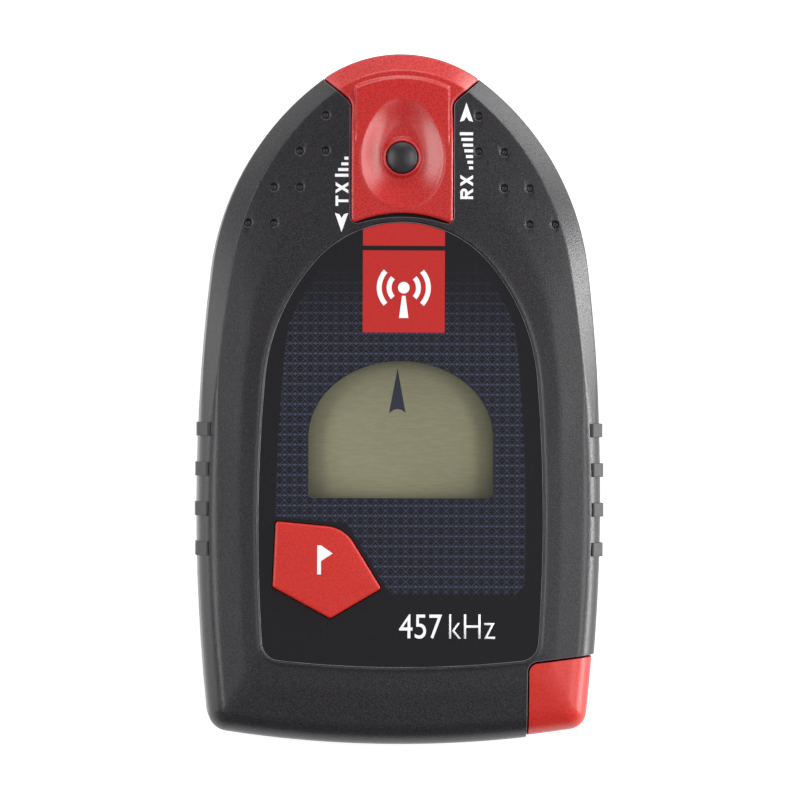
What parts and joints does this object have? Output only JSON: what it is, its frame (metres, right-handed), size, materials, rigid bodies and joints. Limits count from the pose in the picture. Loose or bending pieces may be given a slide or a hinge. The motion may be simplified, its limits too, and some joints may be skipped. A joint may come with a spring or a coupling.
{
  "type": "avalanche transceiver",
  "caption": "Hand-sized avalanche transceiver with a shield-shaped dark casing, a sliding red mode switch with a lock button, a domed display window and a red corner key.",
  "frame": {"origin": "middle of the back face, on the surface that the device lies on", "axes": "+Y towards the mode slider's end, +Z out of the face with the display, +X to the right of a reader"},
  "size_m": [0.0704, 0.119, 0.025],
  "materials": {
    "casing": "fine moulded grain",
    "grip": "matte",
    "seal": "matte",
    "label": "satin printed film",
    "window": "clear",
    "lcd": "satin",
    "black_plastic": "satin",
    "clear_plastic": "frosted",
    "board": "solder mask",
    "chip": "moulded",
    "steel": "plated",
    "red": "fine satin",
    "lock_black": "semi gloss",
    "magnet": "nickel plated",
    "cell": "printed sleeve",
    "ferrite": "dull sintered",
    "copper": "enamelled winding",
    "membrane": "fine mesh"
  },
  "bodies": {
    "casing": {"front_case": "casing", "rear_case": "casing", "case_seal": "seal", "case_screws": "steel", "side_grips": "grip", "label_overlay": "label", "display_window": "window", "lcd_frame": "black_plastic", "lcd_glass": "lcd", "lcd_backlight": "clear_plastic", "zebra_strips": "seal", "circuit_board": "board", "board_chips": "chip", "board_screws": "steel", "mode_sensors": "clear_plastic", "flag_switch": "black_plastic", "plug_sensor": "chip", "door_hinge_pin": "steel", "battery_cell": "cell", "contact_spring": "steel", "contact_plate": "steel", "long_antenna_core": "ferrite", "long_antenna_coil": "copper", "cross_antenna_core": "ferrite", "cross_antenna_coil": "copper", "upright_antenna_core": "ferrite", "upright_antenna_coil": "copper", "speaker": "black_plastic", "speaker_membrane": "membrane"},
    "slider": {"mode_slider": "red", "slider_magnet": "magnet", "lock_retainer": "black_plastic", "lock_spring": "steel"},
    "lock_button": {"lock_button": "lock_black"},
    "flag_button": {"flag_button": "red"},
    "plug": {"corner_plug": "red", "plug_magnet": "magnet"},
    "door": {"battery_door": "casing", "door_gasket": "seal"},
    "door_lock": {"door_lock": "black_plastic", "lock_washer": "steel", "lock_tongue": "steel", "lock_nut": "steel"}
  },
  "joints": [
    {"name": "mode_slide", "type": "slide", "parent": "casing", "child": "slider", "axis": [0, 1, 0], "range_m": [0, 0.006]},
    {"name": "lock_press", "type": "slide", "parent": "slider", "child": "lock_button", "axis": [0, 0, -1], "range_m": [0, 0.0006], "stiffness_N_per_m": 2500, "springref_m": -0.0003, "deforming": ["lock_spring"]},
    {"name": "flag_press", "type": "slide", "parent": "casing", "child": "flag_button", "axis": [0, 0, -1], "range_m": [0, 0.0005], "stiffness_N_per_m": 2500, "springref_m": -0.0003},
    {"name": "plug_pull", "type": "slide", "parent": "casing", "child": "plug", "axis": [0, -1, 0], "range_m": [0, 0.014]},
    {"name": "door_swing", "type": "hinge", "parent": "casing", "child": "door", "pos_m": [0, -0.0426, 0.0018], "axis": [-1, 0, 0], "range_deg": [0, 85]},
    {"name": "door_lock_turn", "type": "hinge", "parent": "door", "child": "door_lock", "pos_m": [0, -0.0124, 0.003], "axis": [0, 0, 1], "range_deg": [0, 90]}
  ]
}
